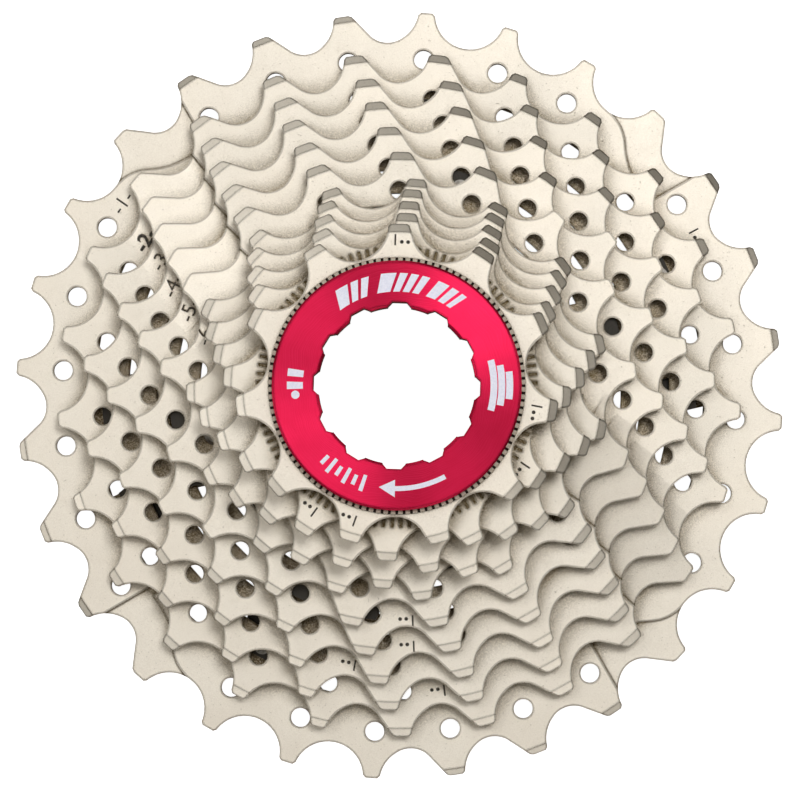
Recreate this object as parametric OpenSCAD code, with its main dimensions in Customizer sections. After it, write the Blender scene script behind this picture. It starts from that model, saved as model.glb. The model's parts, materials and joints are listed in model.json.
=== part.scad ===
// Eleven-speed bicycle cassette, 28 to 11 teeth.
// It lies on the back face of its largest carrier: +Z is the wheel axis, towards the lockring.

/* [Chain] */
// Pitch of the roller chain
chain_pitch = 12.7; // [12.6:0.05:12.8]
// Depth of a tooth gap below the pitch circle
root_drop = 3.74; // [3.5:0.02:3.9]
// Radius of the round gap between two teeth
gullet_r = 5.3; // [5.1:0.1:5.5]
// Height of the largest sprocket's teeth above the pitch circle
tip_rise_largest = 1.05; // [0.8:0.05:1.1]
// Height of the other sprockets' teeth above the pitch circle
tip_rise = 0.62; // [0.4:0.02:0.8]

/* [Stack] */
// Thickness of each sprocket plate
plate_t = 1.6; // [1.5:0.05:1.7]
// Distance from one sprocket's face to the next one's
spacing = 3.78; // [3.74:0.01:3.9]
// How far the large carrier's hub stands behind its arms
back_gap = 1.0; // [0.9:0.1:1.4]
// How far the small carrier's hub stands behind its arms
small_hub_proud = 0.4; // [0.3:0.1:0.6]

/* [Holes] */
// Diameter of the holes in the largest sprocket
hole_d_largest = 2.85; // [2.4:0.05:3]
// Diameter of the holes in the other ring sprockets
hole_d = 2.6; // [2.2:0.05:2.8]
// Diameter of the rivets
rivet_d = 2.6; // [2.2:0.1:2.8]

/* [Freehub fit] */
// Radius of the bore between the spline keys
spline_r = 17.5; // [17.45:0.05:17.6]
// Radius at the tips of the spline keys
key_tip_r = 16.4; // [16.3:0.05:16.6]
// Width of a spline key
key_w = 4.7; // [4:0.1:5.4]
// Width of the one narrow key, which sets the clocking
narrow_key_w = 3.2; // [2.6:0.1:3.8]

/* [Lockring] */
// Radius of the flange
flange_r = 17.9; // [17.4:0.05:18.1]
// Thickness of the flange
flange_t = 1.5; // [1.2:0.1:2]
// Outer radius of the thread, 30.6 mm across
thread_r = 15.3; // [15.2:0.05:15.35]
// Pitch of the thread, 24 turns to the inch
thread_pitch = 1.058; // [1:0.001:1.1]
// Turns of thread on the sleeve
thread_turns = 6; // [4:1:7]
// Radius of the lands in the tool socket
socket_land_r = 11.25; // [11:0.05:11.4]
// Radius of the floors of the socket's twelve notches
socket_notch_r = 11.95; // [11.8:0.05:12.2]
// Depth of the socket, below which the sleeve is bored out
socket_depth = 4.5; // [3.5:0.1:6]

/* [Hidden] */

NICKEL = [0.87, 0.83, 0.76];
ALLOY = [0.62, 0.63, 0.65];
STEEL = [0.55, 0.54, 0.52];
NYLON = [0.12, 0.12, 0.13];
CRIMSON = [0.86, 0.1, 0.27];

// The stack from the largest sprocket, place 0, to the smallest, place 10
teeth = [28, 25, 23, 21, 19, 17, 15, 14, 13, 12, 11];
// Angle of each sprocket's first tooth
clock = [8.7, 11.5, 2.4, 9.2, 16.8, 4.9, 12.75, 8.5, 3.1, 26.8, 23.9];
// How much deeper each sprocket's gaps are than root_drop, and how much higher its teeth
root_extra = [-0.14, 0.16, 0.16, 0.16, 0.16, 0.16, 0, 0, 0, 0.2, 0];
tip_extra = [0, 0, 0, 0.15, 0, 0, -0.15, 0, 0, 0, 0.15];
// The six ring sprockets: circle of their holes, and their inner edge
hole_circle_r = [50.75, 44.5, 40.6, 36.9, 33.1, 29.5];
ring_inner_r = [45.8, 40.5, 36, 33, 29.3, 27.2];
// The teeth after which each ring sprocket's shift ramps start
gate_teeth = [[2, 9, 16, 23], [8, 21], [8, 20], [7, 18], [6, 16], [6, 15]];

// Places of the sprockets that start each carrier and the loose stack
LARGE = 0;
SMALL = 3;
FIRST_LOOSE = 6;
LAST = 10;

arm_count = 6;
arm_angle = 13;
arm_w = 13.5;
// The large carrier's arms end in a head with two prongs
head_w = 24;
head_start_r = 38.4;
head_neck_r = head_start_r - (head_w - arm_w) / 2;
fork_w = 10.6;
fork_floor_r = 40.9;
large_reach = [44.6, 40.8, 34.4];
small_reach = [33.9, 29.4, 25.4];
large_rivet_r = [42.9, 37.5, 31.8];
small_rivet_r = [31.5, 27.5, 23.4];
prong_angle = 11.5;
// Metal left inside the innermost rivets, and the gap between a tab and the step behind it
tab_margin = 2.2;
tab_gap = 0.2;
small_hub_r = 20.6;
large_hub_r = 27.6;
spacer_r = 20.2;
rivet_head_r = 1.9;
rivet_head_taper = 0.5;
rivet_head_t = 0.6;
rivet_clearance = 0.02;

tip_band_largest = 1;
tip_band = 1.25;
tip_bevel = 0.6;
back_bevel = 0.35;
// Share of the pitch that a tooth's chamfer sweeps
bevel_sweep = 0.7;
// The corners of the tips are cut flat by this much, and less on a wide flank
tip_corner = 0.24;
wide_tip_corner = 0.14;
// A wide flank runs straight out of a tighter gullet: radius, shift off the gap's middle, slope
wide_ring_gullet = [3.8, 0.5, 48];
wide_loose_gullet = [4.6, 0, 56];
// How far the curves of a wide gap cross at their joins, instead of only touching
join = 0.02;
ramp_depth = 0.6;
ramp_lean = 8;
ramp_length = 16;
// The curved end of the largest sprocket's ramp is two arcs that meet at this slope
ramp_outer_arc_r = 6.6;
ramp_inner_arc_r = 12;
ramp_arc_slope = 52;
// Start and end of a shift ramp, in tooth pitches after its gate tooth
ramp_start = 0.285;
ramp_end = 1.51;

key_count = 9;
boss_11t_r = 18.5;
serration_count = 100;
serration_angle = 1.6;
serration_inner_r = 19;
serration_outer_r = 20.3;
serration_w = 0.45;
serration_depth = 0.4;
washer_t = 0.5;
washer_r = 18.45;
washer_bore_r = 16.2;
washer_groove_count = 108;
washer_groove_r = 17.6;
washer_groove_w = 0.36;
washer_groove_depth = 0.3;
thread_depth = 0.62;
thread_crest = 0.3;
thread_root = 0.1;
thread_lead = 0.4;
runout = 1;
notch_count = 12;
notch_angle = 28;
notch_floor_w = 2.05;
notch_mouth_w = 3.3;
flange_bevel = 0.25;
socket_bevel = 0.3;
sleeve_bore_r = 12.7;
SMOOTH = 180;
ROUND = 48;
EPS = 0.01;

washer_z = plate_front(LAST);
flange_z = washer_z + washer_t;
sleeve_z = flange_z - runout - thread_turns * thread_pitch - runout;

function plate_z(place) = back_gap + place * spacing;
function pitch_r(n) = chain_pitch / 2 / sin(180 / n);
function root_r(place) = pitch_r(teeth[place]) - root_drop - root_extra[place];
function tip_r(place) =
    pitch_r(teeth[place]) + tip_extra[place] + (place == LARGE ? tip_rise_largest : tip_rise);
function band(place) = place == LARGE ? tip_band_largest : tip_band;
function tooth_angle(place, k) = clock[place] + k * 360 / teeth[place];
function hub_z(first) = plate_z(first) - (first == LARGE ? back_gap : small_hub_proud);
function plate_front(place) = plate_z(place) + plate_t;
function arm_at(k) = arm_angle + k * 360 / arm_count;
// How many teeth k is past the last ramp gate
function past_gate(place, k) =
    min([for (g = gate_teeth[place]) (k - g + teeth[place]) % teeth[place]]);
// How many teeth ahead of tooth k the next ramp gate is
function to_gate(place, k) =
    min([for (g = gate_teeth[place]) (g - k + teeth[place]) % teeth[place]]);
// The four teeth past a ramp's gate are left without a chamfer on their face
function has_tip_bevel(place, k) =
    place >= FIRST_LOOSE || past_gate(place, k) == 0 || past_gate(place, k) > 4;
function has_hole(place, k) = past_gate(place, k) != 1;
// The two smallest sprockets, and the teeth that lead up to a gate and over it, have a wide flank
function has_wide_flank(place, k) =
    place > LAST - 2
    || (place < FIRST_LOOSE && (past_gate(place, k) < 2 || to_gate(place, k) <= (place == LARGE ? 2 : 3)));
function wide_gullet(place) = place < FIRST_LOOSE ? wide_ring_gullet : wide_loose_gullet;
// The distance between the middles of the round gap and the tighter gullet inside it
function wide_offset(place) = gullet_r - wide_gullet(place)[0] + join;
function wide_middle(place) =
    let (offset = wide_offset(place), shift = wide_gullet(place)[1])
        [root_r(place) + gullet_r - sqrt(offset * offset - shift * shift), -shift];
// Where the straight flank starts
function wide_bend(place) =
    let (shape = wide_gullet(place))
        wide_middle(place) + (shape[0] - join) * [-cos(shape[2]), sin(shape[2])];
function flank_direction(place) = [sin(wide_gullet(place)[2]), cos(wide_gullet(place)[2])];
// How far along the straight flank the tip is
function flank_length(place) =
    let (start = wide_bend(place), along = start * flank_direction(place))
        sqrt(along * along - start * start + tip_r(place) * tip_r(place)) - along;
// The angle between a tooth's middle and one corner of its tip
function corner_angle(place, wide) =
    let (
        r = tip_r(place),
        centre_r = root_r(place) + gullet_r,
        end = wide_bend(place) + flank_length(place) * flank_direction(place),
        cosine = (r * r + centre_r * centre_r - gullet_r * gullet_r) / (2 * r * centre_r)
    )
        180 / teeth[place] - (wide ? atan2(end.y, end.x) : acos(cosine));

// The gap between two teeth, along X. A wide flank is on its +Y side.
module gullet(place, wide) {
    round_middle = [root_r(place) + gullet_r, 0];
    if (wide) {
        shape = wide_gullet(place);
        middle = wide_middle(place);
        bend = wide_bend(place);
        touch_y = -gullet_r * shape[1] / wide_offset(place);
        intersection() {
            translate(round_middle)
                circle(r = gullet_r, $fn = ROUND);
            translate([root_r(place) - 1, touch_y - 2 * gullet_r])
                square([3 * gullet_r, 2 * gullet_r]);
        }
        translate(middle)
            circle(r = shape[0], $fn = ROUND);
        polygon([
            middle, bend, bend + gullet_r * flank_direction(place), [bend.x + gullet_r, middle.y]
        ]);
    } else
        translate(round_middle)
            circle(r = gullet_r, $fn = ROUND);
}

// Cuts off one corner of a tooth's tip. side is 1 on the tooth's counter-clockwise side.
module corner_cut(place, side, wide) {
    lean = wide ? wide_gullet(place)[2] / 2 : 45;
    rotate(side * corner_angle(place, wide))
        translate([tip_r(place), 0])
            rotate(side * lean)
                translate([wide ? -wide_tip_corner : -tip_corner, -1])
                    square(2);
}

module tooth_outline(place) {
    n = teeth[place];
    difference() {
        circle(r = tip_r(place), $fn = SMOOTH);
        for (k = [0:n - 1])
            rotate(tooth_angle(place, k + 0.5))
                gullet(place, has_wide_flank(place, (k + 1) % n));
        for (k = [0:n - 1])
            rotate(tooth_angle(place, k)) {
                corner_cut(place, -1, has_wide_flank(place, k));
                corner_cut(place, 1, false);
            }
    }
}

module spline_bore() {
    difference() {
        circle(r = spline_r, $fn = SMOOTH);
        for (k = [0:key_count - 1]) {
            w = k == 0 ? narrow_key_w : key_w;
            rotate(k * 360 / key_count)
                translate([key_tip_r, -w / 2])
                    square([spline_r, w]);
        }
    }
}

// A ring that a circle sweeps, with its lower corner at r and z
module cone_cut(r, z, dr, dz, from, sweep) {
    rotate([0, 0, from])
        rotate_extrude(angle = sweep, $fn = SMOOTH)
            polygon([[r, z], [r + dr, z], [r + dr, z + dz]]);
}

// The chamfers on the face of the teeth, which help the chain to climb
module tip_bevels(place) {
    n = teeth[place];
    for (k = [0:n - 1])
        if (has_tip_bevel(place, k))
            cone_cut(tip_r(place) - band(place), plate_t + EPS, 2 * band(place), -2 * tip_bevel,
                     tooth_angle(place, k - bevel_sweep / 2), bevel_sweep * 360 / n);
}

// The narrow chamfer on the back of the teeth
module back_bevels(place) {
    cone_cut(tip_r(place) - tip_band, -EPS, 2 * tip_band, 2 * back_bevel, 0, 360);
}

// The largest sprocket's ramp is a sunk plateau that lifts the chain, with a curved edge at its end
module plateau_ramp(gate) {
    sweep = (ramp_end - ramp_start) * 360 / teeth[LARGE];
    low = ring_inner_r[LARGE] - 1;
    high = tip_r(LARGE) + 2;
    meet = [cos(ramp_arc_slope), -sin(ramp_arc_slope)];
    meet_x = ramp_outer_arc_r * meet.x;
    rotate([0, 0, tooth_angle(LARGE, gate + ramp_start)])
        translate([0, 0, plate_t - ramp_depth])
            linear_extrude(1)
                difference() {
                    polygon([
                        [low, 0], [high, (low - high) * tan(ramp_lean)],
                        high * [cos(sweep), sin(sweep)], low * [cos(sweep), sin(sweep)]
                    ]);
                    rotate(sweep)
                        translate([root_r(LARGE) - ramp_outer_arc_r, 0]) {
                            circle(r = ramp_outer_arc_r, $fn = SMOOTH);
                            difference() {
                                translate([-ramp_inner_arc_r, -ramp_inner_arc_r])
                                    square([ramp_inner_arc_r + meet_x, ramp_inner_arc_r]);
                                translate((ramp_outer_arc_r + ramp_inner_arc_r) * meet)
                                    circle(r = ramp_inner_arc_r, $fn = SMOOTH);
                            }
                        }
                }
}

// The other ring sprockets' ramps start at a step and run out level
module tapered_ramp(place, gate) {
    run = (ramp_end - ramp_start) * chain_pitch;
    rotate([0, 0, tooth_angle(place, gate + ramp_start)])
        translate([ring_inner_r[place] - 1, 0, plate_t])
            rotate([90, 0, 90])
                linear_extrude(ramp_length)
                    polygon([[0, -ramp_depth], [run, 0], [run, 1], [0, 1]]);
}

// One arm's outline as far as a radius. The large carrier's widens into a forked head.
module arm_outline(reach, forked) {
    intersection() {
        circle(r = reach, $fn = SMOOTH);
        difference() {
            union() {
                translate([spline_r + 1, -arm_w / 2])
                    square([reach, arm_w]);
                if (forked)
                    polygon([
                        [head_neck_r, -arm_w / 2], [head_start_r, -head_w / 2],
                        [reach + 1, -head_w / 2], [reach + 1, head_w / 2],
                        [head_start_r, head_w / 2], [head_neck_r, arm_w / 2]
                    ]);
            }
            if (forked)
                translate([fork_floor_r + fork_w / 2, 0])
                    circle(d = fork_w, $fn = ROUND);
        }
    }
}

module at_rivets(radius, forked) {
    for (k = [0:arm_count - 1], side = forked ? [-1, 1] : [0])
        rotate(arm_at(k) + side * prong_angle)
            translate([radius, 0])
                children();
}

// A ring sprocket's tabs, which lie on the carrier's arms
module tabs(place) {
    seat = place % 3;
    reach = place < SMALL ? large_reach : small_reach;
    rivets = place < SMALL ? large_rivet_r : small_rivet_r;
    low = seat == 2 ? rivets[2] - tab_margin : reach[seat + 1] + tab_gap;
    difference() {
        for (k = [0:arm_count - 1])
            rotate(arm_at(k))
                arm_outline(ring_inner_r[place] + 1, place == LARGE);
        circle(r = low, $fn = SMOOTH);
    }
}

module ring_sprocket(place) {
    n = teeth[place];
    rivets = place < SMALL ? large_rivet_r : small_rivet_r;
    color(NICKEL)
        translate([0, 0, plate_z(place)])
            difference() {
                linear_extrude(plate_t)
                    difference() {
                        tooth_outline(place);
                        difference() {
                            circle(r = ring_inner_r[place], $fn = SMOOTH);
                            tabs(place);
                        }
                        at_rivets(rivets[place % 3], place == LARGE)
                            circle(d = rivet_d, $fn = ROUND);
                        for (k = [0:n - 1])
                            if (has_hole(place, k))
                                rotate(tooth_angle(place, k))
                                    translate([hole_circle_r[place], 0])
                                        circle(d = place == LARGE ? hole_d_largest : hole_d, $fn = ROUND);
                    }
                tip_bevels(place);
                back_bevels(place);
                for (gate = gate_teeth[place])
                    if (place == LARGE)
                        plateau_ramp(gate);
                    else
                        tapered_ramp(place, gate);
            }
}

module loose_sprocket(place) {
    translate([0, 0, plate_z(place)])
        difference() {
            linear_extrude(plate_t)
                difference() {
                    tooth_outline(place);
                    spline_bore();
                }
            tip_bevels(place);
            back_bevels(place);
        }
}

module spacer(low, high) {
    color(NYLON)
        translate([0, 0, low])
            linear_extrude(high - low)
                difference() {
                    circle(r = spacer_r, $fn = SMOOTH);
                    spline_bore();
                }
}

// A spider for three sprockets. reach holds the arms' ends at its three steps.
module carrier(first, reach, rivets, forked) {
    back = plate_z(first);
    hub_low = hub_z(first);
    hub_top = plate_front(first + 2);
    hub_r = first == LARGE ? large_hub_r : small_hub_r;
    color(ALLOY)
        difference() {
            union() {
                translate([0, 0, hub_low])
                    cylinder(r = hub_r, h = hub_top - hub_low, $fn = SMOOTH);
                for (k = [0:arm_count - 1])
                    rotate([0, 0, arm_at(k)]) {
                        translate([0, 0, back + plate_t])
                            linear_extrude(spacing - plate_t)
                                arm_outline(reach[0], forked);
                        translate([0, 0, back])
                            linear_extrude(spacing)
                                arm_outline(reach[1], forked);
                        translate([0, 0, back])
                            linear_extrude(2 * spacing)
                                arm_outline(reach[2], false);
                    }
            }
            translate([0, 0, hub_low - 1])
                linear_extrude(hub_top - hub_low + 2)
                    spline_bore();
            for (seat = [0:2])
                at_rivets(rivets[seat], forked && seat == 0)
                    translate([0, 0, back - 1])
                        cylinder(d = rivet_d, h = 3 * spacing, $fn = ROUND);
        }
}

// The rivets of one ring sprocket. A rivet under the next plate is flush at its front.
module rivets(place) {
    first = place < SMALL ? LARGE : SMALL;
    radii = place < SMALL ? large_rivet_r : small_rivet_r;
    seat = place - first;
    back = plate_z(first);
    front = seat == 0 ? plate_z(first + 1) : plate_front(place);
    color(STEEL)
        at_rivets(radii[seat], place == LARGE) {
            translate([0, 0, back - EPS])
                cylinder(d = rivet_d - 2 * rivet_clearance, h = front - back + EPS, $fn = ROUND);
            translate([0, 0, back - rivet_head_t])
                cylinder(r1 = rivet_head_r - rivet_head_taper, r2 = rivet_head_r, h = rivet_head_t,
                         $fn = ROUND);
            if (seat > 0)
                translate([0, 0, front])
                    cylinder(r1 = rivet_head_r, r2 = rivet_head_r - rivet_head_taper, h = rivet_head_t,
                             $fn = ROUND);
        }
}

module sprocket_28t() ring_sprocket(0);
module sprocket_25t() ring_sprocket(1);
module sprocket_23t() ring_sprocket(2);
module sprocket_21t() ring_sprocket(3);
module sprocket_19t() ring_sprocket(4);
module sprocket_17t() ring_sprocket(5);

module carrier_large() carrier(LARGE, large_reach, large_rivet_r, true);
module carrier_small() carrier(SMALL, small_reach, small_rivet_r, false);

module rivets_28t() rivets(0);
module rivets_25t() rivets(1);
module rivets_23t() rivets(2);
module rivets_21t() rivets(3);
module rivets_19t() rivets(4);
module rivets_17t() rivets(5);

module carrier_spacer() spacer(plate_front(2), hub_z(SMALL));
module spacer_17_15() spacer(plate_front(5), plate_z(6));
module spacer_15_14() spacer(plate_front(6), plate_z(7));
module spacer_14_13() spacer(plate_front(7), plate_z(8));
module spacer_13_12() spacer(plate_front(8), plate_z(9));

module sprocket_15t() color(NICKEL) loose_sprocket(6);
module sprocket_14t() color(NICKEL) loose_sprocket(7);
module sprocket_13t() color(NICKEL) loose_sprocket(8);

// The second-smallest sprocket has a ring of radial serrations on its face
module sprocket_12t() {
    color(NICKEL)
        difference() {
            loose_sprocket(9);
            for (k = [0:serration_count - 1])
                rotate([0, 0, serration_angle + k * 360 / serration_count])
                    translate([serration_inner_r, -serration_w / 2, plate_front(9) - serration_depth])
                        cube([serration_outer_r - serration_inner_r, serration_w, 1]);
        }
}

// The smallest sprocket and its spacing boss are one piece
module sprocket_11t() {
    color(NICKEL)
        union() {
            loose_sprocket(LAST);
            translate([0, 0, plate_front(LAST - 1)])
                linear_extrude(spacing - plate_t + EPS)
                    difference() {
                        circle(r = boss_11t_r, $fn = SMOOTH);
                        spline_bore();
                    }
        }
}

// The washer that the lockring presses on, with grooves round the rim of its face
module lock_washer() {
    color(STEEL)
        translate([0, 0, washer_z])
            difference() {
                linear_extrude(washer_t)
                    difference() {
                        circle(r = washer_r, $fn = SMOOTH);
                        circle(r = washer_bore_r, $fn = SMOOTH);
                    }
                for (k = [0:washer_groove_count - 1])
                    rotate([0, 0, k * 360 / washer_groove_count])
                        translate([washer_groove_r, -washer_groove_w / 2, washer_t - washer_groove_depth])
                            cube([1, washer_groove_w, 1]);
            }
}

module socket_outline() {
    circle(r = socket_land_r, $fn = SMOOTH);
    for (k = [0:notch_count - 1])
        rotate(notch_angle + k * 360 / notch_count)
            polygon([
                [socket_land_r - 2, -notch_mouth_w / 2], [socket_land_r, -notch_mouth_w / 2],
                [socket_notch_r, -notch_floor_w / 2], [socket_notch_r, notch_floor_w / 2],
                [socket_land_r, notch_mouth_w / 2], [socket_land_r - 2, notch_mouth_w / 2]
            ]);
}

// The thread stands as plain ridges one pitch apart, with no helix
module lockring() {
    top = flange_z + flange_t;
    thread_z = flange_z - runout;
    color(CRIMSON)
        difference() {
            rotate_extrude($fn = SMOOTH)
                polygon(concat(
                    [[0, top], [0, sleeve_z], [thread_r - thread_depth - thread_lead, sleeve_z],
                     [thread_r - thread_depth, sleeve_z + thread_lead]],
                    [for (k = [thread_turns - 1:-1:0], p = [0:3])
                        [thread_r - (p == 0 || p == 3 ? thread_depth : 0),
                         thread_z - (k + 1) * thread_pitch
                            + [thread_root / 2, (thread_pitch - thread_crest) / 2,
                               (thread_pitch + thread_crest) / 2, thread_pitch - thread_root / 2][p]]],
                    [[thread_r - thread_depth, flange_z], [flange_r - flange_bevel / 2, flange_z],
                     [flange_r, flange_z + flange_bevel / 2], [flange_r, top - flange_bevel],
                     [flange_r - flange_bevel, top]]
                ));
            translate([0, 0, top - socket_depth - 1])
                linear_extrude(socket_depth + 2)
                    socket_outline();
            translate([0, 0, top - 2 * socket_bevel])
                cylinder(r1 = socket_land_r - socket_bevel, r2 = socket_land_r + 2 * socket_bevel,
                         h = 3 * socket_bevel, $fn = SMOOTH);
            translate([0, 0, sleeve_z - 1])
                cylinder(r = sleeve_bore_r, h = top - socket_depth - sleeve_z + 1, $fn = SMOOTH);
        }
}

sprocket_28t();
sprocket_25t();
sprocket_23t();
carrier_large();
rivets_28t();
rivets_25t();
rivets_23t();
carrier_spacer();
sprocket_21t();
sprocket_19t();
sprocket_17t();
carrier_small();
rivets_21t();
rivets_19t();
rivets_17t();
spacer_17_15();
sprocket_15t();
spacer_15_14();
sprocket_14t();
spacer_14_13();
sprocket_13t();
spacer_13_12();
sprocket_12t();
sprocket_11t();
lock_washer();
lockring();
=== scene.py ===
import json
from math import ceil, cos, pi, radians, sin, tau

import bmesh
import bpy
from mathutils import Matrix, Vector

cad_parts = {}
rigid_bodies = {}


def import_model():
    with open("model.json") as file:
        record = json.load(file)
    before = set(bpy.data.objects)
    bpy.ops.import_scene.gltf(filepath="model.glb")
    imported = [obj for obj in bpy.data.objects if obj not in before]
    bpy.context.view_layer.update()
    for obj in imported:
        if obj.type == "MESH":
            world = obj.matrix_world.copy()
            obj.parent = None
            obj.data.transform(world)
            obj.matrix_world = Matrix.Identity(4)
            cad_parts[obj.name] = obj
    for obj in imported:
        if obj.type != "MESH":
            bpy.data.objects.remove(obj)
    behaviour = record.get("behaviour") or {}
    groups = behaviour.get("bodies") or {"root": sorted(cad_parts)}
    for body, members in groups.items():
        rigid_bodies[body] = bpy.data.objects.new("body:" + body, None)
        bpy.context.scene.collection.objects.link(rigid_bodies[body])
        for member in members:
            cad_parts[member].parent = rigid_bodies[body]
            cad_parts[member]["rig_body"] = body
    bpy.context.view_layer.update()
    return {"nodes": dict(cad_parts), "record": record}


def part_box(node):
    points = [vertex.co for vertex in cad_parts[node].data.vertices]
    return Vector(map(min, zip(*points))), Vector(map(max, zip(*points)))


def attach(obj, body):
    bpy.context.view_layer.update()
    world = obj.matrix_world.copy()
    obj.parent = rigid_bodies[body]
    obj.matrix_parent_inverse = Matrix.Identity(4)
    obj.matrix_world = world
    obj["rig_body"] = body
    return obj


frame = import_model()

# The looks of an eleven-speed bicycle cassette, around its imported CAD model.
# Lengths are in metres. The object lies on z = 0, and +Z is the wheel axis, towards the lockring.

MM = 0.001
RINGS = ["sprocket_28t", "sprocket_25t", "sprocket_23t", "sprocket_21t", "sprocket_19t", "sprocket_17t"]


def top_of(node):
    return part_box(node)[1].z


def radius_of(node):
    """A round node's outer radius."""
    low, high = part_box(node)
    return max(high.x, high.y, -low.x, -low.y)


def body_of(node):
    return frame["nodes"][node]["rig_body"]


# Materials


class Finish:
    """A material with one Principled shader, and short calls that add the nodes in front of it."""

    def __init__(self, name, **inputs):
        self.material = bpy.data.materials.new(name)
        self.material.use_nodes = True
        self.nodes = self.material.node_tree.nodes
        self.links = self.material.node_tree.links
        self.shader = self.nodes["Principled BSDF"]
        self.place = self.nodes.new("ShaderNodeTexCoord").outputs["Object"]
        self.feed(self.shader, **inputs)

    def put(self, value, socket):
        """Sets an input, or links it where the value is another node's output."""
        if isinstance(value, bpy.types.NodeSocket):
            self.links.new(value, socket)
        elif socket.type == "RGBA":
            socket.default_value = (*value, 1)
        else:
            socket.default_value = value

    def feed(self, node, **inputs):
        """Puts values on inputs by their names, with _ for a space."""
        for name, value in inputs.items():
            self.put(value, node.inputs[name.replace("_", " ")])

    def add(self, kind, **settings):
        node = self.nodes.new(kind)
        for name, value in settings.items():
            setattr(node, name, value)
        return node

    def noise(self, size, detail=2.0, roughness=0.5, stretch=(1, 1, 1)):
        """Noise with lumps of about that size."""
        mapping = self.add("ShaderNodeMapping")
        self.feed(mapping, Vector=self.place, Scale=tuple(1 / s for s in stretch))
        node = self.add("ShaderNodeTexNoise")
        self.feed(node, Vector=mapping.outputs["Vector"], Scale=1 / size)
        self.feed(node, Detail=detail, Roughness=roughness)
        return node.outputs["Fac"]

    def remap(self, value, low, high, to_low=0.0, to_high=1.0):
        """Turns low..high into to_low..to_high, with soft ends."""
        node = self.add("ShaderNodeMapRange", interpolation_type="SMOOTHSTEP")
        self.feed(node, Value=value, From_Min=low, From_Max=high, To_Min=to_low, To_Max=to_high)
        return node.outputs["Result"]

    def maths(self, operation, first, second=0.0):
        node = self.add("ShaderNodeMath", operation=operation)
        self.put(first, node.inputs[0])
        self.put(second, node.inputs[1])
        return node.outputs["Value"]

    def vector(self, operation, first, second=(0, 0, 0), output="Vector"):
        node = self.add("ShaderNodeVectorMath", operation=operation)
        self.put(first, node.inputs[0])
        self.put(second, node.inputs[1])
        return node.outputs[output]

    def blend(self, factor, first, second):
        """The first colour where factor is 0 and the second where it is 1."""
        node = self.add("ShaderNodeMix", data_type="RGBA")
        by_place = {s.identifier: s for s in node.inputs}
        self.put(factor, by_place["Factor_Float"])
        self.put(first, by_place["A_Color"])
        self.put(second, by_place["B_Color"])
        return next(s for s in node.outputs if s.identifier == "Result_Color")

    def edges(self, reach):
        """1 on an edge, falling to 0 about reach away from it."""
        rounded = self.add("ShaderNodeBevel", samples=4)
        self.feed(rounded, Radius=reach)
        true = self.add("ShaderNodeNewGeometry").outputs["Normal"]
        alike = self.vector("DOT_PRODUCT", rounded.outputs["Normal"], true, output="Value")
        return self.remap(alike, 0.998, 0.96)

    def recesses(self, reach):
        """1 close below a step, and 0 where little stands over the surface within reach."""
        around = self.add("ShaderNodeAmbientOcclusion", samples=4)
        self.feed(around, Distance=reach)
        return self.remap(around.outputs["AO"], 0.76, 0.5)

    def rounds(self):
        """1 on the small rounds of the edges, and 0 on flats, chamfers and cut walls."""
        normal = self.add("ShaderNodeSeparateXYZ")
        self.feed(normal, Vector=self.add("ShaderNodeNewGeometry").outputs["Normal"])
        level = self.maths("ABSOLUTE", normal.outputs["Z"])
        return self.maths("MULTIPLY", self.remap(level, 0.89, 0.78), self.remap(level, 0.1, 0.3))

    def below(self, height, depth):
        """0 at a height and above it, and 1 a depth below it."""
        split = self.add("ShaderNodeSeparateXYZ")
        self.feed(split, Vector=self.place)
        return self.remap(split.outputs["Z"], height, height - depth)

    def axis_distance(self):
        """How far a point is from the wheel axis."""
        flat = self.vector("MULTIPLY", self.place, (1, 1, 0))
        return self.vector("LENGTH", flat, output="Value")

    def turning(self, pitch, jitter):
        """Height of the fine concentric lines that a lathe leaves."""
        wander = self.maths("MULTIPLY", self.noise(9 * MM), jitter)
        radius = self.maths("ADD", self.axis_distance(), wander)
        lines = self.add("ShaderNodeTexNoise", noise_dimensions="1D")
        self.feed(lines, W=radius, Scale=1 / pitch, Detail=3.0)
        return lines.outputs["Fac"]

    def outward(self):
        """The direction away from the wheel axis."""
        position = self.add("ShaderNodeNewGeometry").outputs["Position"]
        return self.vector("NORMALIZE", self.vector("MULTIPLY", position, (1, 1, 0)))

    def round_grain(self):
        """Runs the highlights out from the axis, across the lines of turning."""
        self.feed(self.shader, Tangent=self.outward())

    def coned(self, slope):
        """The normal of a face that falls away a little towards its rim."""
        lean = self.vector("MULTIPLY", self.outward(), (slope, slope, 0))
        true = self.add("ShaderNodeNewGeometry").outputs["Normal"]
        return self.vector("NORMALIZE", self.vector("ADD", true, lean))

    def bumps(self, *layers, normal=None):
        """Stacks (height, depth) layers of relief on the surface."""
        for height, depth in layers:
            node = self.add("ShaderNodeBump")
            self.feed(node, Height=height, Distance=depth, Strength=1.0)
            if normal:
                self.feed(node, Normal=normal)
            normal = node.outputs["Normal"]
        self.feed(self.shader, Normal=normal)


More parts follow.
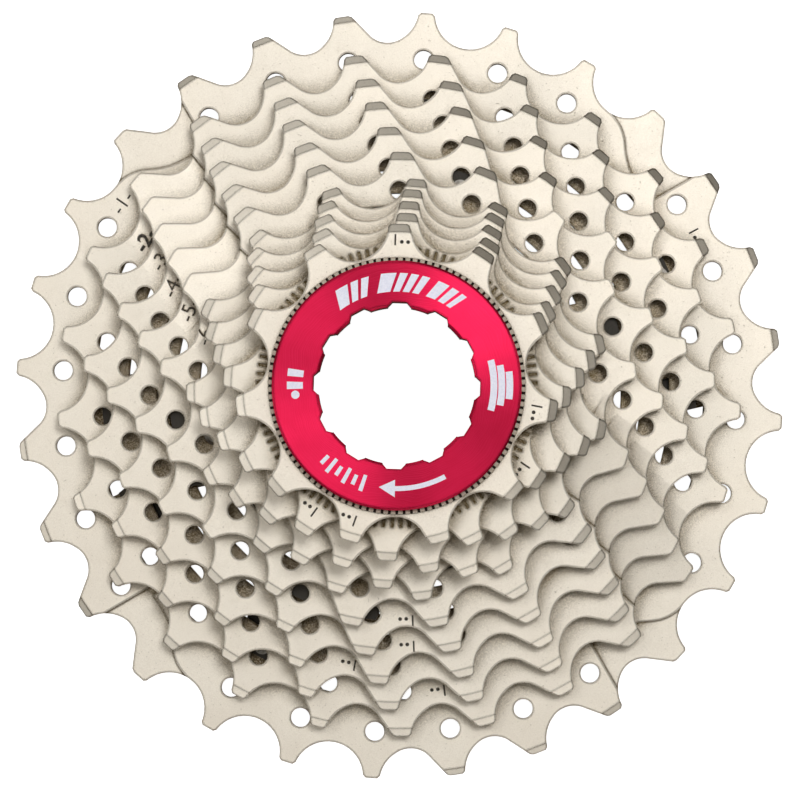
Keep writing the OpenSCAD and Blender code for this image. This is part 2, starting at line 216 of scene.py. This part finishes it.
def nickel_plate():
    """Satin nickel on stamped steel: warm and grained, with fine pits, painted shade under the steps and
    painted dark outlines along the edges.
    """
    f = Finish("nickel_plate", Metallic=0.93)
    clouds = f.noise(14 * MM, 4)
    grain = f.noise(0.16 * MM, 3, 0.7)
    pits = f.remap(f.noise(0.3 * MM, 2, 0.6), 0.66, 0.76)
    stains = f.remap(f.noise(3 * MM, 5, 0.65), 0.55, 0.8)
    # Painted shade: an occlusion mask, made grainy, for where the plates above stand over a plate.
    painted_shade = f.maths("MULTIPLY", f.recesses(4.6 * MM), f.remap(grain, 0.36, 0.62, 0.4, 0.95))
    colour = f.blend(f.remap(clouds, 0.35, 0.65), (0.85, 0.785, 0.68), (0.91, 0.85, 0.745))
    colour = f.blend(f.maths("MULTIPLY", stains, 0.2), colour, (0.6, 0.52, 0.41))
    colour = f.blend(f.remap(grain, 0.3, 0.7, 0, 0.3), colour, (0.6, 0.53, 0.43))
    colour = f.blend(f.maths("MULTIPLY", pits, 0.5), colour, (0.24, 0.2, 0.15))
    # Painted shade: the plate turns brown, then nearly black, where plates above stand over it.
    colour = f.blend(f.remap(painted_shade, 0, 0.5), colour, (0.45, 0.37, 0.25))
    colour = f.blend(f.remap(painted_shade, 0.35, 0.9), colour, (0.09, 0.058, 0.02))
    # Painted dark outlines: shade painted near black on and beside every edge, and on the edges' small
    # rounds.
    colour = f.blend(f.maths("MULTIPLY", f.edges(0.55 * MM), 0.95), colour, (0.07, 0.05, 0.025))
    colour = f.blend(f.maths("MULTIPLY", f.rounds(), 0.9), colour, (0.07, 0.05, 0.025))
    rough = f.maths("ADD", f.remap(clouds, 0.3, 0.7, 0.38, 0.44), f.remap(grain, 0.3, 0.7, -0.03, 0.05))
    f.feed(f.shader, Base_Color=colour, Roughness=rough)
    f.bumps((grain, 0.012 * MM), (pits, -0.02 * MM))
    return f.material


def carrier_alloy():
    """Dark anodised aluminium, nearly black: fine turning lines, a few scuffs and rubbed edges."""
    f = Finish("carrier_alloy", Metallic=0.3, Anisotropic=0.4)
    lines = f.turning(0.22 * MM, 0.02)
    scuffs = f.remap(f.noise(1.2 * MM, 4, 0.7, stretch=(1, 5, 1)), 0.58, 0.72)
    colour = f.blend(f.remap(lines, 0.3, 0.7), (0.022, 0.017, 0.009), (0.04, 0.031, 0.018))
    colour = f.blend(f.maths("MULTIPLY", scuffs, 0.35), colour, (0.09, 0.075, 0.05))
    colour = f.blend(f.maths("MULTIPLY", f.edges(0.15 * MM), 0.4), colour, (0.16, 0.14, 0.11))
    f.feed(f.shader, Base_Color=colour, Roughness=f.remap(lines, 0.3, 0.7, 0.36, 0.48))
    f.round_grain()
    f.bumps((lines, 0.01 * MM), (scuffs, -0.008 * MM))
    return f.material


def rivet_steel():
    """Plain steel rivets, darkened in the low spots by handling."""
    f = Finish("rivet_steel", Metallic=1.0)
    dents = f.noise(0.5 * MM, 3, 0.6)
    grain = f.noise(0.1 * MM, 2)
    colour = f.blend(f.remap(dents, 0.35, 0.65), (0.2, 0.185, 0.16), (0.33, 0.31, 0.28))
    colour = f.blend(f.maths("MULTIPLY", f.edges(0.12 * MM), 0.6), colour, (0.5, 0.48, 0.44))
    f.feed(f.shader, Base_Color=colour, Roughness=f.remap(grain, 0.3, 0.7, 0.28, 0.42))
    f.bumps((dents, 0.03 * MM), (grain, 0.006 * MM))
    return f.material


def spacer_nylon():
    """Moulded black nylon with a fine spark texture, a little grey where it rubs."""
    f = Finish("spacer_nylon", Metallic=0.0, IOR=1.53)
    spark = f.noise(0.22 * MM, 3, 0.6)
    dust = f.remap(f.noise(2.5 * MM, 5, 0.7), 0.5, 0.75)
    colour = f.blend(f.remap(spark, 0.3, 0.7), (0.014, 0.014, 0.015), (0.026, 0.026, 0.028))
    colour = f.blend(f.maths("MULTIPLY", dust, 0.3), colour, (0.08, 0.078, 0.072))
    colour = f.blend(f.maths("MULTIPLY", f.edges(0.15 * MM), 0.5), colour, (0.07, 0.07, 0.072))
    f.feed(f.shader, Base_Color=colour, Roughness=f.remap(spark, 0.3, 0.7, 0.48, 0.62))
    f.bumps((spark, 0.02 * MM))
    return f.material


def washer_steel():
    """A thin steel ring, bright on its face, with painted black shade in its grooves and a painted dark
    shadow line along its edges and round the rim.
    """
    f = Finish("washer_steel", Metallic=1.0)
    grain = f.noise(0.12 * MM, 3, 0.7)
    # Painted shade: 1 on the groove floors below the face, which are painted near black.
    painted_groove_shade = f.below(top_of("lock_washer") - 0.04 * MM, 0.12 * MM)
    colour = f.blend(f.remap(grain, 0.35, 0.65), (0.26, 0.22, 0.17), (0.52, 0.47, 0.39))
    # Painted shadow line: the edges, the rim among them, are painted near black.
    colour = f.blend(f.maths("MULTIPLY", f.edges(0.1 * MM), 0.9), colour, (0.03, 0.022, 0.018))
    colour = f.blend(painted_groove_shade, colour, (0.018, 0.014, 0.012))
    f.feed(f.shader, Base_Color=colour, Roughness=f.remap(grain, 0.3, 0.7, 0.35, 0.5))
    f.bumps((grain, 0.01 * MM))
    return f.material


def lockring_red():
    """Crimson anodised aluminium over fine turning, with a clear shine and painted dark shade along its
    edges.
    """
    f = Finish("lockring_red", Metallic=1.0, Anisotropic=0.88, Coat_Weight=0.08, Coat_Roughness=0.2)
    lines = f.turning(0.09 * MM, 0.004)
    clouds = f.noise(4 * MM, 4)
    specks = f.remap(f.noise(0.25 * MM, 2), 0.7, 0.78)
    colour = f.blend(f.remap(lines, 0.3, 0.7), (0.8, 0.012, 0.068), (0.9, 0.026, 0.11))
    colour = f.blend(f.remap(clouds, 0.35, 0.75, 0, 0.3), colour, (0.66, 0.008, 0.05))
    colour = f.blend(f.maths("MULTIPLY", specks, 0.3), colour, (0.3, 0.003, 0.02))
    # Painted shade: the edges and the bands beside them are painted dark red.
    colour = f.blend(f.maths("MULTIPLY", f.edges(0.5 * MM), 0.85), colour, (0.16, 0.002, 0.008))
    f.feed(f.shader, Base_Color=colour, Roughness=f.remap(lines, 0.3, 0.7, 0.37, 0.45))
    f.round_grain()
    f.bumps((lines, 0.004 * MM), (specks, -0.006 * MM), normal=f.coned(0.11))
    return f.material


def lockring_print():
    """Pale print, slightly chalky, that lets the turning lines below show as roughness."""
    f = Finish("lockring_print", Metallic=0.7, IOR=1.5)
    chalk = f.noise(0.3 * MM, 4, 0.7)
    colour = f.blend(f.remap(chalk, 0.3, 0.75), (0.9, 0.9, 1.0), (0.78, 0.79, 0.92))
    lines = f.turning(0.09 * MM, 0.004)
    f.feed(f.shader, Base_Color=colour, Roughness=f.remap(lines, 0.3, 0.7, 0.42, 0.6))
    f.bumps((chalk, 0.006 * MM))
    return f.material


def stamped_ink():
    """The dark, uneven bottom of a stamped mark."""
    f = Finish("stamped_ink", Metallic=0.3)
    worn = f.noise(0.35 * MM, 4, 0.7)
    colour = f.blend(f.remap(worn, 0.35, 0.7), (0.02, 0.016, 0.012), (0.12, 0.1, 0.08))
    f.feed(f.shader, Base_Color=colour, Roughness=f.remap(worn, 0.3, 0.7, 0.5, 0.8))
    f.bumps((worn, 0.02 * MM))
    return f.material


FINISHES = {
    "nickel_plate": nickel_plate(),
    "carrier_alloy": carrier_alloy(),
    "rivet_steel": rivet_steel(),
    "spacer_nylon": spacer_nylon(),
    "washer_steel": washer_steel(),
    "lockring_red": lockring_red(),
}
PRINT = lockring_print()
INK = stamped_ink()


# The CAD nodes: their record's finish, and small rounds on their sharp edges


def round_edges(piece, width, segments=2):
    """Joins the flat facets, then rounds the edges between faces that meet at more than 30 degrees."""
    flat = piece.modifiers.new("flat faces", "DECIMATE")
    flat.decimate_type = "DISSOLVE"
    flat.angle_limit = radians(0.6)
    flat.delimit = {"NORMAL"}
    round_off = piece.modifiers.new("edge rounds", "BEVEL")
    round_off.width = width
    round_off.segments = segments
    round_off.limit_method = "ANGLE"
    round_off.angle_limit = radians(30)
    round_off.harden_normals = True
    round_off.use_clamp_overlap = False


ROUNDS = {
    "nickel_plate": 0.16 * MM,
    "carrier_alloy": 0.25 * MM,
    "rivet_steel": 0.12 * MM,
    "spacer_nylon": 0.2 * MM,
    "washer_steel": 0.04 * MM,
    "lockring_red": 0.16 * MM,
}

for part in frame["record"]["subparts"]:
    piece = frame["nodes"][part["node"]]
    finish = part["material_slot"]
    if not piece.material_slots:
        piece.data.materials.append(None)
    for slot in piece.material_slots:
        slot.material = FINISHES[finish]
    round_edges(piece, ROUNDS[finish])


# Marks: stamped ones on the sprockets and printed ones on the lockring

MARK_RISE = 0.03 * MM


def mark_piece(name, mesh, node, material):
    """Adds a mesh as a thin mark that rides with a node."""
    piece = bpy.data.objects.new(name, mesh)
    bpy.context.scene.collection.objects.link(piece)
    piece.data.materials.clear()
    piece.data.materials.append(material)
    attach(piece, body_of(node))
    return piece


def at_angle(angle, radius, height, turn=0.0):
    """A place on a face, with its own Y axis pointing out from the wheel axis."""
    spin = Matrix.Rotation(radians(angle - 90 + turn), 4, "Z")
    return Matrix.Translation((radius * cos(radians(angle)), radius * sin(radians(angle)), height)) @ spin


def number_mesh(text, size, weight=0.0):
    """A number as a thin flat mesh, centred on the origin. weight thickens its strokes."""
    curve = bpy.data.curves.new("number", "FONT")
    curve.body = text
    curve.size = size
    curve.align_x = "CENTER"
    curve.align_y = "CENTER"
    curve.offset = weight
    curve.extrude = MARK_RISE / 2
    curve.resolution_u = 4
    maker = bpy.data.objects.new("number", curve)
    mesh = bpy.data.meshes.new_from_object(maker)
    bpy.data.objects.remove(maker)
    bpy.data.curves.remove(curve)
    return mesh


def outline_mesh(name, outlines):
    """Flat shapes from lists of (x, y) corners, with a thin thickness, as one mesh."""
    shape = bmesh.new()
    for outline in outlines:
        face = shape.faces.new([shape.verts.new((x, y, -MARK_RISE / 2)) for x, y in outline])
        face.normal_update()
        if face.normal.z > 0:
            face.normal_flip()
        top = bmesh.ops.extrude_face_region(shape, geom=[face])
        risen = [v for v in top["geom"] if isinstance(v, bmesh.types.BMVert)]
        bmesh.ops.translate(shape, verts=risen, vec=(0, 0, MARK_RISE))
    bmesh.ops.recalc_face_normals(shape, faces=shape.faces)
    mesh = bpy.data.meshes.new(name)
    shape.to_mesh(mesh)
    shape.free()
    return mesh


def disc(x, y, radius, sides=20):
    return [(x + radius * cos(tau * k / sides), y + radius * sin(tau * k / sides)) for k in range(sides)]


def arc_bar(inner, outer, start, end, slant=0.0, step=2.0):
    """A bar along an arc about the axis, from one angle to another in degrees. slant leans its ends."""
    count = max(1, ceil(abs(end - start) / step))
    angles = [start + (end - start) * k / count for k in range(count + 1)]
    low = [(inner * cos(radians(a)), inner * sin(radians(a))) for a in angles]
    high = [(outer * cos(radians(a + slant)), outer * sin(radians(a + slant))) for a in reversed(angles)]
    return low + high


# The sprockets' numbers, counted from the largest, each on the circle of the holes
NUMBER_SIZE = 3.1 * MM
BOLD = 0.07 * MM
THIN = -0.02 * MM
# Each one's angle, and its circle as a share of the sprocket's radius
NUMBER_PLACES = [
    (145.2, 0.88), (148.7, 0.867), (150.5, 0.86), (154.7, 0.854), (158.7, 0.844), (163.5, 0.838),
]
for count, (node, (angle, circle)) in enumerate(zip(RINGS, NUMBER_PLACES), 1):
    mesh = number_mesh(f"-{count}-", NUMBER_SIZE, BOLD if count == 2 else THIN)
    mesh.transform(at_angle(angle, circle * radius_of(node), top_of(node)))
    mark_piece(f"number_{node}", mesh, node, INK)

# A short bar and two timing dots on some sprockets: the node, the angle, and the circle they are on
DOT_R = 0.27 * MM
DOT_STEP = 0.9 * MM
DOT_LOW = -0.3 * MM
BAR_X = -0.95 * MM
BAR_HALF_W = 0.12 * MM
BAR_HALF_H = 0.8 * MM
TIMING_DOTS = [
    ("sprocket_28t", 28, 0.88), ("sprocket_25t", 277.5, 0.875), ("sprocket_23t", 259.5, 0.87),
    ("sprocket_21t", 272, 0.87), ("sprocket_19t", 272, 0.865), ("sprocket_12t", 326, 0.86),
    ("sprocket_11t", 349, 0.87), ("sprocket_11t", 88, 0.9), ("sprocket_11t", 250, 0.87),
    ("sprocket_12t", 234, 0.86),
]
for count, (node, angle, circle) in enumerate(TIMING_DOTS):
    corners = ((-1, -1), (1, -1), (1, 1), (-1, 1))
    bar = [(BAR_X + BAR_HALF_W * x, BAR_HALF_H * y) for x, y in corners]
    mesh = outline_mesh("dots", [bar, disc(0, DOT_LOW, DOT_R), disc(DOT_STEP, DOT_LOW, DOT_R)])
    mesh.transform(at_angle(angle, circle * radius_of(node), top_of(node)))
    mark_piece(f"timing_dots_{count}", mesh, node, INK)

# The lockring's print
FLANGE_R = radius_of("lockring")
PRINT_IN = 0.75 * FLANGE_R
PRINT_OUT = 0.9 * FLANGE_R
flange_top = top_of("lockring")


def print_on_lockring(name, outlines):
    mesh = outline_mesh(name, outlines)
    mesh.transform(Matrix.Translation((0, 0, flange_top)))
    mark_piece(name, mesh, "lockring", PRINT)


# Slanted bars over the top, in three groups: where each group starts, and its bars' widths in degrees
BAR_GROUPS = [(127, (7, 4, 4)), (102, (8, 4, 4, 4)), (72, (6, 4, 3))]
BAR_GAP = 1.8
BAR_SLANT = -4
bars = []
for angle, widths in BAR_GROUPS:
    for width in widths:
        bars.append(arc_bar(PRINT_IN, PRINT_OUT, angle, angle - width, slant=BAR_SLANT))
        angle -= width + BAR_GAP
print_on_lockring("print_slanted_bars", bars)

# Three stacked bars at the right, shorter towards the rim
STACK_HALF_WIDTHS = (15, 11, 7)
ROW_STEP = 0.42 * (PRINT_OUT - PRINT_IN)
ROW_HEIGHT = 0.055 * FLANGE_R
stack = []
for row, half_width in enumerate(STACK_HALF_WIDTHS):
    inner = PRINT_IN + row * ROW_STEP
    stack.append(arc_bar(inner, inner + ROW_HEIGHT, -half_width, half_width))
print_on_lockring("print_stacked_bars", stack)

# Two bars and a dot at the left
LEFT_BAR_ANGLES = (171, 178)
LEFT_BAR_WIDTH = 4
LEFT_DOT_R = 0.6 * MM
left = [arc_bar(PRINT_IN, PRINT_OUT - 0.4 * MM, a, a + LEFT_BAR_WIDTH) for a in LEFT_BAR_ANGLES]
left.append(disc(-0.81 * FLANGE_R, -0.075 * FLANGE_R, LEFT_DOT_R))
print_on_lockring("print_left_bars", left)

# The way it tightens, as an arrow along the bottom with a scale behind it
MIDDLE = (PRINT_IN + PRINT_OUT) / 2
HALF_HEAD = 1.25 * MM
HALF_SHAFT = 0.35 * MM
ARROW_END = 298
ARROW_NECK = 269
ARROW_TIP = 260
shaft = arc_bar(MIDDLE - HALF_SHAFT, MIDDLE + HALF_SHAFT, ARROW_END, ARROW_NECK)
half = len(shaft) // 2
head_corners = ((MIDDLE - HALF_HEAD, ARROW_NECK), (MIDDLE, ARROW_TIP), (MIDDLE + HALF_HEAD, ARROW_NECK))
head = [(r * cos(radians(a)), r * sin(radians(a))) for r, a in head_corners]
arrow = [shaft[:half] + head + shaft[half:]]

SCALE_START = 252
SCALE_STEP = 5
TICK_WIDTH = 2.2
LONG_TICK = 1.2 * MM
SHORT_TICK = 0.75 * MM
for count in range(6):
    start = SCALE_START - count * SCALE_STEP
    reach = LONG_TICK if count % 2 == 0 else SHORT_TICK
    arrow.append(arc_bar(MIDDLE - reach, MIDDLE + reach, start, start - TICK_WIDTH))
print_on_lockring("print_arrow", arrow)


# Stage, lights and camera


def floor():
    """A white, glowing table. It doesn't show in the metal, so that the plates' walls stay dark."""
    bpy.ops.mesh.primitive_plane_add(size=8, location=(0, 0, -0.02 * MM))
    plane = bpy.context.object
    plane.name = "floor"
    f = Finish("floor_white", Roughness=0.8)
    grain = f.noise(1 * MM, 2)
    f.feed(
        f.shader,
        Base_Color=f.blend(f.remap(grain, 0.3, 0.7), (0.8, 0.8, 0.8), (0.82, 0.82, 0.82)),
        Emission_Color=(1, 1, 1),
        Emission_Strength=1.0,
    )
    plane.data.materials.append(f.material)
    plane.visible_glossy = False


LAMP_DISTANCE = 1.9


def softbox(name, azimuth, tilt, size, radiance):
    """A square lamp, tilted away from straight overhead towards an azimuth, that faces the object."""
    lamp = bpy.data.lights.new(name, "AREA")
    lamp.shape = "SQUARE"
    lamp.size = size
    lamp.energy = radiance * pi * size ** 2
    light = bpy.data.objects.new(name, lamp)
    a, t = radians(azimuth), radians(tilt)
    away = Vector((sin(t) * cos(a), sin(t) * sin(a), cos(t)))
    light.location = away * LAMP_DISTANCE
    light.rotation_euler = away.to_track_quat("Z", "Y").to_euler()
    light.visible_camera = False
    bpy.context.scene.collection.objects.link(light)


def world(radiance):
    """A dim, warm room, which the shadows and the upper right's chamfers show."""
    studio = bpy.data.worlds.new("studio")
    studio.use_nodes = True
    background = studio.node_tree.nodes["Background"]
    background.inputs["Color"].default_value = (1, 0.86, 0.6, 1)
    background.inputs["Strength"].default_value = radiance
    bpy.context.scene.world = studio


def camera():
    """A long lens almost straight above the cassette, a little below its axis."""
    data = bpy.data.cameras.new("camera")
    data.lens = 237.0
    data.sensor_width = 36.0
    data.clip_start = 0.05
    view = bpy.data.objects.new("camera", data)
    view.location = (6.97 * MM, -26.8 * MM, 792.4 * MM + top_of("sprocket_28t"))
    view.rotation_euler = (radians(1.9286), radians(0.4945), 0)
    bpy.context.scene.collection.objects.link(view)
    bpy.context.scene.camera = view


floor()
world(0.06)
softbox("key", 50, 16, 0.5, 8.6)
softbox("overhead", 190, 11, 0.5, 1.3)
softbox("upper_left", 143, 25, 0.65, 1.6)
# A row of low lamps round the left and the bottom, which the chamfers there reflect
for azimuth in (138, 190, 245, 300):
    softbox(f"low_{azimuth}", azimuth, 50, 0.9, 1.7)
# Side lamps near the table, for views from the side
for azimuth in (10, 100, 190, 280):
    softbox(f"side_{azimuth}", azimuth, 78, 1.1, 1.1)
camera()
bpy.context.scene.view_settings.view_transform = "Standard"
